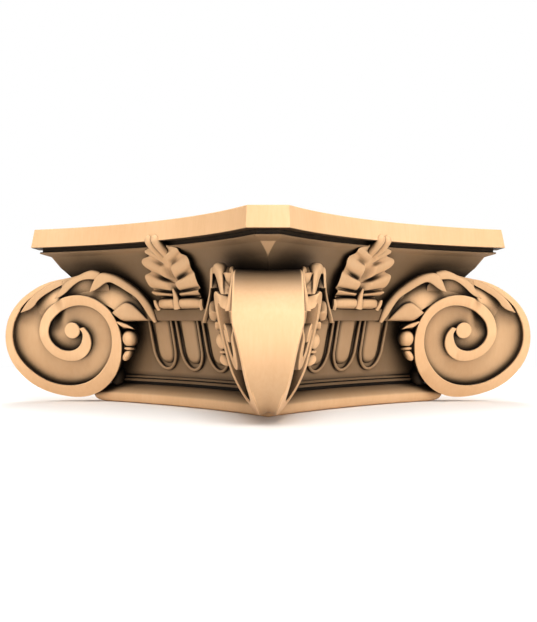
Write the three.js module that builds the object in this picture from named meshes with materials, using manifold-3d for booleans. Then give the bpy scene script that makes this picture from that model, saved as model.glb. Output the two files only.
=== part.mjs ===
// A carved Ionic capital of the kind with four diagonal scrolls, made for a square post.
// Millimetres, +Z up. The origin is the middle of the underside, the four sides face X and Y,
// and the four scrolls point along the diagonals.
import * as THREE from "three";
import { mergeVertices } from "three/addons/utils/BufferGeometryUtils.js";
import Module from "manifold-3d";

const wasm = await Module();
wasm.setup();

// Driving dimensions
const HEIGHT = 169.4;
const SLAB_BOTTOM = 151.3; // the abacus slab runs from here to the top
const SLAB_REACH = 144.9; // from the axis to the middle of a slab side, at the top
const SLAB_CORNER = 229.6; // from the axis to the cut corner, along the diagonal
const SLAB_BATTER = 1.9; // how much further out a slab side is at the bottom
const SLAB_CORNER_BATTER = 3.3;
const LIP_REACH = 137.6; // the thin lip below the slab
const LIP_CORNER = 225.8;
const QUIRK = 2.4; // how far the quirk between lip and slab lies back
const COVE_REACH = 129.4; // the top of the cove
const COVE_CORNER = 215;
const CREASE = 130.8; // the line in the cove where the cut corner runs out
const CREASE_REACH = 120.2;
const CREASE_CORNER = 205.9;
const ABACUS_SWEEP = 552; // from the axis to the centre of a side's hollow arc
const NECK_SWEEP = 656; // the same for the flatter arcs below
const BAND_LOW = 80; // the plain band above the tongues
const BAND_HIGH = 90.8;
const BAND_REACH = 113;
const NECK_REACH = 94.2; // the foot of the flaring neck
const FILLET = 96.4; // the thin fillet round the neck's foot, and the collar below it
const COLLAR = 97.8;
const TORUS_REACH = 108.9; // the rounded foot moulding
const TORUS_PROFILE = [
  // height, and how far each line of the foot moulding lies back
  [0, 5.4],
  [1.6, 2.1],
  [5.6, 0],
  [10.4, 0.1],
  [14.4, 3.5],
  [17.8, 9.9],
];
const FOOT_GROOVE = [18.1, 20.5]; // the groove above it, then the collar and the fillet
const COLLAR_RUN = [20.8, 23.2];
const NECK_GROOVE = [23.5, 23.8];
const FILLET_RUN = [24.1, 26.2];
const NECK_FLARE = [
  // height, and how far out the neck has flared
  [26.5, 0],
  [48, 1.2],
  [66, 5],
  [BAND_LOW - 0.3, 9.3],
];
const COVE_FOOT = 104.2; // the foot of the cove, behind the plain band
const COVE_TOP = 142.8;
const COVE_CURVE = 1.25; // how hollow its lower part is
const LIP_RUN = [145.9, 147.6];
const EASE = 0.4; // how much the natural corner is rounded off
const STEP = 0.3; // the height that a sharp step of the mouldings is drawn over

const EYE_U = 189.2; // the scroll's eye, out along the diagonal
const EYE_Z = 70.5;
const EYE_RADIUS = 7.7;
const FACE_HALF = 36.8; // half the scroll's thickness above its eye, at the tongues' tops
const FACE_LEVEL = 82.3;
const FACE_TAPER = 0.1455; // how much it thins out along the diagonal, and how it leans
const FACE_LEAN = 0.25;
const FOOT = 45; // the height below which the scroll's faces are drawn in
const FOOT_DRAWN_IN = 11;
const CHANNEL_DEPTH = 9.5; // from the scroll's fillet down to the floor of its channel
const CHANNEL_LEAST = 0.35; // the share of the thickness that is left at the thin foot
const STEM_TOP = 121.8; // the scroll's top where it runs in under the abacus
const STEM_LOW = 80.4;
const STEM_ROOT = 60; // where the stem starts inside the body
const STEM_FRONT = 146; // where its underside meets the scroll
const STEM_END = 188; // where its top does
const FRONT_BAND = 27.3; // half the width of the scroll's front band, high up
const FRONT_BAND_LOW = 77; // from this height, and this far out
const FRONT_BAND_FROM = 205;

const TONGUE_PITCH = 37.6;
const TONGUE_WIDTH = 32.6;
const TONGUE_LOW = 32.8;
const TONGUE_ROD = 2.8; // the rod that frames a tongue
const TONGUE_EGG = 10.8; // half the width of the egg inside it
const EGG_LENGTH = 44; // the egg's straight part, most of it hidden behind the plain band
const EGG_LOW = 41;
const EGG_SUNK = 5; // its middle line behind the rod's face
const EGG_FLATTENED = 0.5;
const TONGUE_HIDDEN = 4; // how far the tongues run up behind the plain band
const TONGUE_POINT = 1.25; // the height of a tongue's round end, as a share of its half width
const TONGUE_BACK = 90; // the rod's hidden back
const TONGUE_TILT = 0.215; // how far the tongues lean in for each millimetre down
const TONGUE_REACH = 107.9; // from the axis to a tongue's top
const TONGUE_BOW = 0.0014; // how much further out the outer tongues are
const LEAF_ROOT = 126; // the side leaf goes back into the cove at least to here
const LEAF_DEPTH = 20;
const LEAF_THICK = 1.5; // its surface stands this far before the reach of its rows,
const LEAF_LOBE = 2.2; // the lobes this much more, the hollow at the midrib this much less,
const LEAF_HOLLOW = 3.5;
const HOLLOW_WIDTH = 0.16; // over this share of its half width,
const LEAF_DROOP = 3; // and its edges this much less
const LEAF_TIP = 1.04; // the width at the tips and the notches of its edge
const LEAF_NOTCH = 0.93;
const SIDES = 4;
const DIAGONAL = Math.PI / 4;

// The body's outline from the underside up: height, distance from the axis at the middle of a
// side, arc centre, and distance of the cut corner (Infinity where the corner is whole).
function bodyLevels() {
  const levels = [];
  const add = (z, reach, sweep = ABACUS_SWEEP, corner = Infinity) =>
    levels.push({ z, reach, sweep, corner });
  const neck = (z, reach) => add(z, reach, NECK_SWEEP);
  const run = (heights, reach) => heights.forEach((z) => neck(z, reach));
  for (const [z, back] of TORUS_PROFILE) neck(z, TORUS_REACH - back);
  run(FOOT_GROOVE, NECK_REACH);
  run(COLLAR_RUN, COLLAR);
  run(NECK_GROOVE, NECK_REACH);
  run(FILLET_RUN, FILLET);
  for (const [z, out] of NECK_FLARE) neck(z, NECK_REACH + out);
  run([BAND_LOW, BAND_HIGH - STEP], BAND_REACH);
  for (const rise of [0, 0.33, 0.67])
    add(
      BAND_HIGH + (CREASE - BAND_HIGH) * rise,
      COVE_FOOT + (CREASE_REACH - COVE_FOOT) * rise ** COVE_CURVE,
    );
  add(CREASE, CREASE_REACH, ABACUS_SWEEP, CREASE_CORNER);
  add(COVE_TOP, COVE_REACH, ABACUS_SWEEP, COVE_CORNER);
  for (const z of LIP_RUN) add(z, LIP_REACH, ABACUS_SWEEP, LIP_CORNER);
  for (const z of [LIP_RUN[1] + STEP, SLAB_BOTTOM - STEP])
    add(z, LIP_REACH - QUIRK, ABACUS_SWEEP, LIP_CORNER - QUIRK);
  add(
    SLAB_BOTTOM,
    SLAB_REACH + SLAB_BATTER,
    ABACUS_SWEEP,
    SLAB_CORNER + SLAB_CORNER_BATTER,
  );
  add(HEIGHT, SLAB_REACH, ABACUS_SWEEP, SLAB_CORNER);
  return levels;
}

// The distance from the axis of a hollow side at m along it.
function sideReach(level, m) {
  const radius = level.sweep - level.reach;
  return level.sweep - Math.sqrt(radius * radius - m * m);
}

// Half the length of a side, up to its cut or eased corner.
function sideHalf(level) {
  let natural = level.reach;
  for (let i = 0; i < 30; i++) natural = sideReach(level, natural);
  const corner = Math.min(level.corner, natural * Math.SQRT2 - EASE);
  let low = 0;
  let high = natural;
  for (let i = 0; i < 40; i++) {
    const m = (low + high) / 2;
    if ((sideReach(level, m) + m) / Math.SQRT2 < corner) low = m;
    else high = m;
  }
  return low;
}

// Any closed geometry as a solid, with its faces turned outwards.
function solid(geometry) {
  const bare = geometry.index ? geometry.toNonIndexed() : geometry.clone();
  bare.deleteAttribute("normal");
  bare.deleteAttribute("uv");
  const merged = mergeVertices(bare, 1e-4);
  const triVerts = new Uint32Array(merged.index.array);
  const vertProperties = new Float32Array(merged.attributes.position.array);
  const corner = (i) =>
    new THREE.Vector3().fromArray(vertProperties, 3 * triVerts[i]);
  let volume = 0;
  for (let i = 0; i < triVerts.length; i += 3)
    volume += corner(i).dot(corner(i + 1).cross(corner(i + 2)));
  if (volume < 0)
    for (let i = 0; i < triVerts.length; i += 3)
      [triVerts[i], triVerts[i + 1]] = [triVerts[i + 1], triVerts[i]];
  return new wasm.Manifold(
    new wasm.Mesh({ numProp: 3, vertProperties, triVerts }),
  );
}

// Moves every vertex of a geometry by a function of its place.
function reshape(geometry, move) {
  const place = geometry.attributes.position;
  const at = new THREE.Vector3();
  for (let i = 0; i < place.count; i++) {
    at.fromBufferAttribute(place, i);
    place.setXYZ(i, ...move(at));
  }
  return geometry;
}

// The body is a cylinder's mesh, with each of its rings drawn out to the plan at that height.
function body() {
  const steps = 5;
  const levels = bodyLevels();
  const halves = levels.map(sideHalf);
  const around = SIDES * (steps + 1);
  const mesh = new THREE.CylinderGeometry(1, 1, 1, around, levels.length - 1);
  return solid(
    reshape(mesh, (at) => {
      const ring = Math.round((at.y + 0.5) * (levels.length - 1));
      const level = levels[ring];
      if (Math.hypot(at.x, at.z) < 0.5) return [0, 0, level.z];
      const share = Math.atan2(at.x, at.z) / (2 * Math.PI);
      const index = Math.round((share + 1) * around) % around;
      const side = Math.floor(index / (steps + 1));
      const m = halves[ring] * ((2 * (index % (steps + 1))) / steps - 1);
      const turned = new THREE.Vector2(m, -sideReach(level, m)).rotateAround(
        new THREE.Vector2(),
        (side * Math.PI) / 2,
      );
      return [turned.x, turned.y, level.z];
    }),
  );
}

// Half the scroll's thickness at a point of its face: thick at the back and at the top, and
// drawn in towards its foot.
function faceOf(u, z) {
  const foot = Math.max(0, FOOT - z) / FOOT;
  const taper = FACE_TAPER * (u - EYE_U);
  const lean = FACE_LEAN * (z - FACE_LEVEL);
  return FACE_HALF - taper + lean - FOOT_DRAWN_IN * foot * foot;
}

function bandOf(u, z) {
  const onFront = u > FRONT_BAND_FROM && z > FRONT_BAND_LOW;
  return onFront ? Math.min(FRONT_BAND, faceOf(u, z)) : faceOf(u, z);
}

const floorOf = (u, z) =>
  Math.max(faceOf(u, z) - CHANNEL_DEPTH, CHANNEL_LEAST * faceOf(u, z));

// The scroll's fillet: its outer and inner radius about the eye at every 30 degrees, winding
// inwards from the upper front.
const FIRST_ANGLE = 75;
const STATION = 30;
const OUTER_RADII = [
  51.3, 55.6, 63.2, 69.2, 69.2, 66.4, 65.6, 59.2, 50.4, 44.8, 39.4, 34.9, 32.2,
  32.4, 33.1, 33, 31.6, 30.2, 28.9, 24.6, 17.9, 12.4,
];
const INNER_RADII = [
  46, 50, 56.6, 61.2, 58.4, 55.6, 51.8, 45.7, 40.2, 35.6, 30.2, 25, 21.8, 22,
  23.7, 23.9, 22.6, 20.6, 17.6, 13.2, 10.2, 7,
];

// The core stays just inside the fillet, and ends where it meets the stem again.
const CORE_RADII = OUTER_RADII.map((r) => r - 1.5);
const CORE_END = 275;

// A smooth radius between the stations.
function radiusAt(radii, turn) {
  const place = turn / STATION;
  const i = Math.min(Math.floor(place), radii.length - 2);
  const f = place - i;
  const [a, b, c, d] = [i - 1, i, i + 1, i + 2].map(
    (k) => radii[Math.min(Math.max(k, 0), radii.length - 1)],
  );
  return (
    b +
    0.5 *
      f *
      (c - a + f * (2 * a - 5 * b + 4 * c - d + f * (3 * (b - c) + d - a)))
  );
}

function onSpiral(radii, turn) {
  const angle = THREE.MathUtils.degToRad(FIRST_ANGLE - turn);
  const r = radiusAt(radii, turn);
  return new THREE.Vector2(
    EYE_U + r * Math.cos(angle),
    EYE_Z + r * Math.sin(angle),
  );
}

function spiralRun(radii, from, to, step) {
  const count = Math.round((to - from) / step);
  return Array.from({ length: count + 1 }, (_, i) =>
    onSpiral(radii, from + ((to - from) * i) / count),
  );
}

// A flat outline in (u, z) given thickness between two surfaces, placed on the diagonal.
function plate(points, low, high) {
  const mesh = new THREE.ExtrudeGeometry(new THREE.Shape(points), {
    depth: 1,
    bevelEnabled: false,
  });
  return solid(
    reshape(mesh, (at) => [
      at.x,
      at.z < 0.5 ? low(at.x, at.y) : high(at.x, at.y),
      at.y,
    ]),
  );
}

const bothFaces = (points, half) =>
  plate(points, (u, z) => -half(u, z), half);

const mirrored = (part) => part.add(part.mirror([0, 1, 0]));

// The solid heart of a scroll, up to the floor of its channel, with its stem into the body.
function scrollCore() {
  const outline = [
    new THREE.Vector2(STEM_ROOT, STEM_TOP),
    new THREE.Vector2(STEM_ROOT, STEM_LOW),
    new THREE.Vector2(STEM_FRONT, STEM_LOW),
    ...spiralRun(CORE_RADII, 0, CORE_END, STATION - 5).reverse(),
    new THREE.Vector2(STEM_END, STEM_TOP),
  ];
  return bothFaces(outline, floorOf);
}

// The raised fillet that winds round the face, and the eye that it ends in.
function scrollFillet() {
  const last = STATION * (OUTER_RADII.length - 1);
  const outline = [
    ...spiralRun(OUTER_RADII, 0, last, STATION),
    ...spiralRun(INNER_RADII, 0, last, STATION).reverse(),
  ];
  const eye = Array.from({ length: 8 }, (_, i) =>
    new THREE.Vector2(EYE_RADIUS, 0)
      .rotateAround(new THREE.Vector2(), (i * Math.PI) / 4)
      .add(new THREE.Vector2(EYE_U, EYE_Z)),
  );
  return bothFaces(outline, bandOf).add(bothFaces(eye, faceOf));
}

// The acanthus leaf on a scroll's face: the thick upper edge, from the tip by the plain band,
// over the top of the scroll and down its front, and how deep it hangs at its lobes.
const LEAF_BEND = 178; // where the leaf starts to turn over the top of the scroll
const LEAF_NARROWS = 0.85; // how fast it gets narrower from there
const LEAF_PROUD = 2; // how far it stands out from the scroll's face
const LEAF_GROUND = 16; // its hidden back
const FLARE_INSIDE = 58; // within this distance of the eye the lobes' tips flare out again
const FLARE_RATE = 0.35;
const FLARE_MOST = 5;
const LEAF_END_DEPTH = 5.5;
const LEAF_LEAST = 0.6; // the depth of its pointed root
const LEAF_ROOT_SHARE = 0.25; // the share of the first lobe over which it gets its full depth
const LEAF_WIDEST = 49.6; // from the scroll's middle plane to the leaf's outer edge
const LEAF_EDGE = [
  [105, 79.7],
  [112.6, 94.5],
  [122.1, 105],
  [131.7, 112.4],
  [141.2, 118.8],
  [150.7, 123.8],
  [161.2, 125.3],
  [168.9, 127.3],
  [180.3, 122.8],
];
// Where each lobe starts, where its tip hangs, as shares of the leaf's edge, and its depths.
const LEAF_LOBES = [
  { from: 0.0, tip: 0.42, thin: 9, deep: 17 },
  { from: 0.42, tip: 0.63, thin: 7, deep: 17 },
  { from: 0.63, tip: 0.9, thin: 6, deep: 13 },
];

const leafCurve = new THREE.SplineCurve([
  ...LEAF_EDGE.map(([u, z]) => new THREE.Vector2(u, z)),
  ...spiralRun(OUTER_RADII, 0, 90, 22.5),
]);

function leafDepth(share) {
  const lobe =
    LEAF_LOBES.find((l) => share <= l.tip) ?? LEAF_LOBES[LEAF_LOBES.length - 1];
  if (share > lobe.tip) return LEAF_END_DEPTH;
  const f = (share - lobe.from) / (lobe.tip - lobe.from);
  const swell = lobe.from === 0 ? Math.min(1, f / LEAF_ROOT_SHARE) : 1;
  return (lobe.thin + (lobe.deep - lobe.thin) * f ** 3) * swell + LEAF_LEAST;
}

// The leaf stands proud of the stem, narrows as it turns over the top of the scroll, and there
// flares out to the tips of its lobes.
function leafTop(u, z) {
  const inside = FLARE_INSIDE - Math.hypot(u - EYE_U, z - EYE_Z);
  const flare = THREE.MathUtils.clamp(inside * FLARE_RATE, 0, FLARE_MOST);
  const narrowed = LEAF_WIDEST - LEAF_NARROWS * Math.max(0, u - LEAF_BEND);
  return Math.min(faceOf(u, z) + LEAF_PROUD, Math.max(narrowed, FRONT_BAND + flare));
}

function scrollLeaf() {
  const upper = [];
  const lower = [];
  const steps = 10;
  for (let i = 0; i <= steps; i++) {
    const share = i / steps;
    const at = leafCurve.getPointAt(share);
    const along = leafCurve.getTangentAt(share);
    const inward = new THREE.Vector2(along.y, -along.x);
    upper.push(at);
    lower.push(at.clone().addScaledVector(inward, leafDepth(share)));
  }
  return plate([...upper, ...lower.reverse()], () => LEAF_GROUND, leafTop);
}

// The lower lobe of the leaf, a rounded petal that lies along the stem's lower edge and gets
// deeper outwards: its middle and its radii, with u out along the diagonal and t across it.
const PETAL = { u: 131, t: 40, z: 89, ru: 18.5, rt: 12, rz: 8.5, deepens: 0.1 };

function scrollPetal() {
  return solid(
    reshape(new THREE.SphereGeometry(1, 6, 4), (at) => [
      PETAL.u + PETAL.ru * at.x,
      PETAL.t + PETAL.rt * at.z,
      PETAL.z + (PETAL.rz + PETAL.deepens * PETAL.ru * at.x) * at.y,
    ]),
  );
}

// The husk of two beads that hangs below the stem, behind the scroll.
const HUSK = [
  { u: 134, t: 28, z: 63.5, ru: 8, rt: 17, rz: 9 },
  { u: 137, t: 24, z: 49, ru: 8, rt: 16, rz: 8 },
];

function scrollHusk() {
  return HUSK.map((bead) =>
    solid(
      reshape(new THREE.SphereGeometry(1, 5, 3), (at) => [
        bead.u + bead.ru * at.x,
        bead.t + bead.rt * at.z,
        bead.z + bead.rz * at.y,
      ]),
    ),
  ).reduce((a, b) => a.add(b));
}

function scroll() {
  return scrollCore()
    .add(scrollFillet())
    .add(mirrored(scrollLeaf()))
    .add(mirrored(scrollPetal()))
    .add(mirrored(scrollHusk()));
}

// How far out the face of the tongues is at a height.
const tongueFace = (z) => TONGUE_REACH - TONGUE_TILT * (BAND_LOW - z);

function tongueOutline(halfWidth, low, steps) {
  const top = BAND_LOW + TONGUE_HIDDEN;
  const centre = low + halfWidth * TONGUE_POINT;
  const points = [new THREE.Vector2(-halfWidth, top)];
  for (let i = 0; i <= steps; i++) {
    const turn = Math.PI * (1 + i / steps);
    points.push(
      new THREE.Vector2(
        halfWidth * Math.cos(turn),
        centre + (centre - low) * Math.sin(turn),
      ),
    );
  }
  points.push(new THREE.Vector2(halfWidth, top));
  return points;
}

// One tongue: a U-shaped frame, and a rounded tongue inside it.
function tongue() {
  const half = TONGUE_WIDTH / 2;
  const frame = plate(
    [
      ...tongueOutline(half, TONGUE_LOW, 6),
      ...tongueOutline(half - TONGUE_ROD, TONGUE_LOW + TONGUE_ROD, 6).reverse(),
    ],
    () => TONGUE_BACK,
    (m, z) => tongueFace(z),
  );
  const inner = new THREE.CapsuleGeometry(TONGUE_EGG, EGG_LENGTH, 2, 5);
  const egg = solid(
    reshape(inner, (at) => {
      const z = EGG_LOW + TONGUE_EGG + EGG_LENGTH / 2 + at.y;
      return [at.x, tongueFace(z) - EGG_SUNK + EGG_FLATTENED * at.z, z];
    }),
  );
  return frame.add(egg);
}

// The leaf in the middle of a side: half its width and its distance out, at heights up it.
const LEAF_ROWS = [
  [91, 30, 117.5],
  [99, 29.5, 118],
  [103, 34, 120.5],
  [111, 34.5, 123],
  [119, 33.5, 126],
  [127, 33.5, 129.5],
  [135, 31.5, 134],
  [143, 22, 139],
  [149, 11, 144.5],
  [154, 8.5, 148.5],
  [158, 6.5, 149.5],
];

function sideLeaf() {
  const columns = 6;
  const rows = LEAF_ROWS.length - 1;
  const mesh = new THREE.BoxGeometry(2, 1, 1, columns, rows, 1);
  return solid(
    reshape(mesh, (at) => {
      const row = Math.round((at.y + 0.5) * rows);
      const [z, half, reach] = LEAF_ROWS[row];
      const across = at.x;
      const lobe = LEAF_LOBE * Math.abs(Math.sin(Math.PI * across * 1.5));
      const hollow = LEAF_HOLLOW * Math.exp(-((across / HOLLOW_WIDTH) ** 2));
      const droop = LEAF_DROOP * across * across;
      const notch = row % 2 ? LEAF_NOTCH : LEAF_TIP;
      const front = reach + LEAF_THICK + lobe - hollow - droop;
      const back = Math.min(reach - LEAF_DEPTH, LEAF_ROOT);
      return [
        across * half * (Math.abs(across) > 0.9 ? notch : 1),
        at.z > 0 ? front : back,
        z,
      ];
    }),
  );
}

// Turns a part that faces outwards along +Y to each of the four sides.
function onSides(part, extra) {
  const copies = Array.from({ length: SIDES }, (_, i) =>
    part.rotate([0, 0, 90 * i + extra]),
  );
  return copies.reduce((a, b) => a.add(b));
}

const tongues = [-1, 0, 1]
  .map((k) => k * TONGUE_PITCH)
  .map((m) => tongue().translate([m, TONGUE_BOW * m * m, 0]))
  .reduce((a, b) => a.add(b));

const whole = body()
  .add(onSides(tongues.add(sideLeaf()), 0))
  .add(onSides(scroll(), THREE.MathUtils.radToDeg(DIAGONAL)));

const made = whole.getMesh();
const geometry = new THREE.BufferGeometry();
geometry.setAttribute(
  "position",
  new THREE.BufferAttribute(new Float32Array(made.vertProperties), 3),
);
geometry.setIndex(new THREE.BufferAttribute(new Uint32Array(made.triVerts), 1));
geometry.computeVertexNormals();

const carvedWood = new THREE.MeshStandardMaterial({
  color: 0xdcae7c,
  roughness: 0.55,
  metalness: 0,
});
const capital = new THREE.Mesh(geometry, carvedWood);
capital.name = "capital";

const group = new THREE.Group();
group.add(capital);
export default group;
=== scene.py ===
import math

import bmesh
import bpy
from mathutils import Matrix, Vector


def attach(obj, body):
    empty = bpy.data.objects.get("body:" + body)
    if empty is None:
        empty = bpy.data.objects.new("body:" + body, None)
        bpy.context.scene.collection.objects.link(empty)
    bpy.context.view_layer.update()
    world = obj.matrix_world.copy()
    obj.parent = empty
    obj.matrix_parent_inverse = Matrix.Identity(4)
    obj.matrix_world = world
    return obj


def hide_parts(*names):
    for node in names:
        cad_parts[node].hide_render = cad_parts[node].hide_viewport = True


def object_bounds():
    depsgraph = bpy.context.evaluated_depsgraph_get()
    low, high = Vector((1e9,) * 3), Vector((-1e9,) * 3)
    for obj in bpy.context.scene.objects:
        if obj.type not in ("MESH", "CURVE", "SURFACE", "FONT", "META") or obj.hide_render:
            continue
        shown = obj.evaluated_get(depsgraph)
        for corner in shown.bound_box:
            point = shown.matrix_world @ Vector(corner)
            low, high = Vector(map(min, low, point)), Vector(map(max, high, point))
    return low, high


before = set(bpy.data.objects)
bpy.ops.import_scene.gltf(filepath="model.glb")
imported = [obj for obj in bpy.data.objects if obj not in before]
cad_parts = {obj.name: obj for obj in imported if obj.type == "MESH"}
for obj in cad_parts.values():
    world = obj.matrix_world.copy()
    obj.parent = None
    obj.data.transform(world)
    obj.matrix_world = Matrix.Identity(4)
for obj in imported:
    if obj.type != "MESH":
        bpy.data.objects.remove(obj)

cad_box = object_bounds()

# A carved wooden capital with four diagonal scrolls, modelled in millimetres and scaled down to
# metres at the end. On a scroll, u runs out along its diagonal, t across it and z up. On a side,
# m runs along it and reach is how far out from the axis it is, and the first side faces -Y.
MM = 0.001
TOP = cad_box[1].z / MM
ROOT_HALF = math.sqrt(0.5)
QUARTER = math.pi / 2
# Points of one mesh that are closer than this are one point
WELD = 0.002


# Sheets: every carved surface starts as a flat grid and is bent into shape

def sheet(columns, rows, place):
    """A grid bent so that its point (a, b), both from 0 to 1, lies at place(a, b)."""
    bm = bmesh.new()
    bmesh.ops.create_grid(bm, x_segments=columns, y_segments=rows, size=0.5)
    for vert in bm.verts:
        vert.co = place(vert.co.x + 0.5, vert.co.y + 0.5)
    return bm


def close(bm):
    """Welds the seams, fills what is still open and turns the faces outwards."""
    bmesh.ops.remove_doubles(bm, verts=bm.verts, dist=WELD)
    open_edges = [e for e in bm.edges if e.is_boundary]
    if open_edges:
        bmesh.ops.holes_fill(bm, edges=open_edges, sides=0)
    bmesh.ops.recalc_face_normals(bm, faces=bm.faces)
    return bm


def block(columns, rows, front, back):
    """A bent sheet with its rim carried back to a hidden face, as relief on a ground."""
    bm = sheet(columns, rows, front)
    rim = [e for e in bm.edges if e.is_boundary]
    made = bmesh.ops.extrude_edge_only(bm, edges=rim)["geom"]
    for vert in (v for v in made if isinstance(v, bmesh.types.BMVert)):
        vert.co = back(vert.co)
    return close(bm)


def bar(sections):
    """A solid bar through closed sections that all have the same number of points."""
    rows = len(sections) - 1
    columns = len(sections[0])

    def place(a, b):
        section = sections[round(b * rows)]
        return section[round(a * columns) % columns]

    return close(sheet(columns, rows, place))


LUMP_AROUND = 16
LUMP_ROWS = 10


def lump(centre, radii, turn=0.0):
    """A rounded bead, with its length turned in the plane of the scroll's face."""
    bm = bmesh.new()
    bmesh.ops.create_uvsphere(bm, u_segments=LUMP_AROUND, v_segments=LUMP_ROWS, radius=1)
    bmesh.ops.scale(bm, verts=bm.verts, vec=radii)
    bmesh.ops.rotate(bm, verts=bm.verts, cent=(0, 0, 0), matrix=Matrix.Rotation(turn, 3, "Y"))
    bmesh.ops.translate(bm, verts=bm.verts, vec=centre)
    return bm


def with_painted_shade(bm, amount):
    """Marks how much painted shade a mesh gets, as a number or a function of the place.

    0 adds none, 1 is light painted shade and 2 is deep painted shade.
    """
    layers = bm.verts.layers.float
    layer = layers.get("painted_shade") or layers.new("painted_shade")
    for vert in bm.verts:
        vert[layer] = amount(vert.co) if callable(amount) else amount
    return bm


def joined(parts):
    """One mesh of several, which are used up."""
    whole = bmesh.new()
    # The layer of painted shade, carried over from every part
    whole.verts.layers.float.new("painted_shade")
    for part in parts:
        mesh = bpy.data.meshes.new("part")
        part.to_mesh(mesh)
        part.free()
        whole.from_mesh(mesh)
        bpy.data.meshes.remove(mesh)
    return whole


def with_mirror(bm):
    """The mesh and its mirror image across the scroll's middle plane."""
    copy = bm.copy()
    bmesh.ops.scale(copy, verts=copy.verts, vec=(1, -1, 1))
    bmesh.ops.reverse_faces(copy, faces=copy.faces)
    return joined([bm, copy])


def round_the_axis(bm, first):
    """Four copies of a mesh, a quarter turn apart, the first at this angle."""
    copies = []
    for quarter in range(4):
        copy = bm.copy()
        spin = Matrix.Rotation(first + quarter * QUARTER, 3, "Z")
        bmesh.ops.rotate(copy, verts=copy.verts, cent=(0, 0, 0), matrix=spin)
        copies.append(copy)
    bm.free()
    return joined(copies)


# Curves

FINE_STEPS = 400


def smooth_step(x):
    """From 0 to 1 as x does, flat at both ends."""
    x = min(max(x, 0.0), 1.0)
    return x * x * (3 - 2 * x)


def mix(a, b, share):
    return a + (b - a) * share


def at_height(levels, z):
    """The value at a height, between (height, value) pairs."""
    for (low, start), (high, end) in zip(levels, levels[1:]):
        if z <= high:
            return mix(start, end, max(z - low, 0) / (high - low))
    return levels[-1][1]


def through(points, place):
    """The value at place, 0 to 1, of a smooth curve through points spaced evenly."""
    spans = len(points) - 1
    i = min(int(place * spans), spans - 1)
    f = place * spans - i
    before, start, end, after = (
        points[min(max(k, 0), spans)] for k in (i - 1, i, i + 1, i + 2)
    )
    first = end - before
    second = before * 2 - start * 5 + end * 4 - after
    third = (start - end) * 3 + after - before
    return start + (first + (second + third * f) * f) * f * 0.5


def along(points, count):
    """Evenly spaced points on a smooth curve through these."""
    fine = [through(points, i / FINE_STEPS) for i in range(FINE_STEPS + 1)]
    run = [0.0]
    for here, there in zip(fine, fine[1:]):
        run.append(run[-1] + (there - here).length)
    even = []
    at = 0
    for i in range(count + 1):
        goal = run[-1] * i / count
        while at < len(run) - 2 and run[at + 1] < goal:
            at += 1
        span = max(run[at + 1] - run[at], 1e-9)
        even.append(fine[at].lerp(fine[at + 1], min(max((goal - run[at]) / span, 0), 1)))
    return even


# The body: foot mouldings, neck, plain band, cove and abacus. Each line of the mouldings is
# hollow along a side: an arc round a centre that is this far out from the axis.

ABACUS_SWEEP = 552
NECK_SWEEP = 656
SIDE_STEPS = 26
# The first and last steps of a side end at this share of the way to its corners
BESIDE_CORNER = 0.988
# Two sides meet in a corner eased by this much, unless it is cut
EASE = 0.5
UNCUT = math.inf

# (height, reach in the middle of a side) of the mouldings at the foot, from the underside up
TORUS = (
    (0, 102.6), (0.5, 104.6), (1.5, 106.4), (3.1, 107.9), (5.6, 108.8), (8.6, 109.1),
    (10.4, 108.7),
)
FOOT_SLOPE = ((14.2, 105.4), (14.6, 104.8), (17.8, 99.0))
FOOT_GROOVE = ((18.1, 94.6), (20.5, 94.6))
LOW_FILLET = ((20.7, 97.6), (21.1, 98.0), (22.9, 98.0), (23.3, 97.6), (23.6, 94.6))
HIGH_FILLET = ((23.9, 94.6), (24.1, 96.0), (24.4, 96.4), (25.9, 96.4), (26.3, 96.0))

NECK_LOW = 26.6
NECK_REACH = 94.2
NECK_FLARE = 9.6
NECK_CURVE = 2.2
NECK_STEPS = 12

# (height over its lower edge, reach in the middle of a side) of the plain band. The lines of its
# top are as hollow as the abacus, and the others as the neck.
BAND_LOW = 80.0
BAND_HIGH = 90.8
BAND = ((0.05, 112.4), (0.6, 113.0), (10.2, 113.0))
BAND_TOP = ((10.75, 112.5), (10.8, 104))

# The cove rises to a crease, and above it its corners are cut
COVE_REACH = 104
COVE_SPREAD = 16.2
COVE_CURVE = 1.25
COVE_STEPS = 12
CREASE = 130.8
CREASE_REACH = 120.2
CREASE_CORNER = 205.9
CROWN_CURVE = 1.15
CROWN_STEPS = 8
COVE_TOP = 142.8
COVE_TOP_REACH = 129.4
COVE_CORNER = 215.0

# (height, reach in the middle of a side, reach of its cut corner) of the lines of the abacus
LIP = (
    (143.0, 129.6, 215.3), (145.9, 137.0, 225.3), (146.2, 137.6, 225.8), (147.2, 137.6, 225.8),
    (147.6, 137.2, 225.3),
)
QUIRK = ((147.9, 135.4, 223.2), (151.1, 135.4, 223.2))
SLAB_BOTTOM = 151.3
SLAB = (
    (SLAB_BOTTOM, 146.3, 232.4), (SLAB_BOTTOM + EASE, 146.8, 232.9), (TOP - EASE, 144.9, 229.6),
    (TOP, 144.4, 229.1),
)


# Rounds of the search for a side's end, enough for every digit
ROUNDS = 40


def side_reach(sweep, reach, m):
    """How far out a hollow side is, at m along it."""
    radius = sweep - reach
    return sweep - math.sqrt(radius * radius - m * m)


def side_half(sweep, reach, corner):
    """Half a side's length, up to its cut or eased corner."""
    natural = reach
    for _ in range(ROUNDS):
        natural = side_reach(sweep, reach, natural)
    corner = min(corner, natural / ROOT_HALF - EASE)
    low, high = 0.0, natural
    for _ in range(ROUNDS):
        m = (low + high) / 2
        if (side_reach(sweep, reach, m) + m) * ROOT_HALF < corner:
            low = m
        else:
            high = m
    return low


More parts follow.
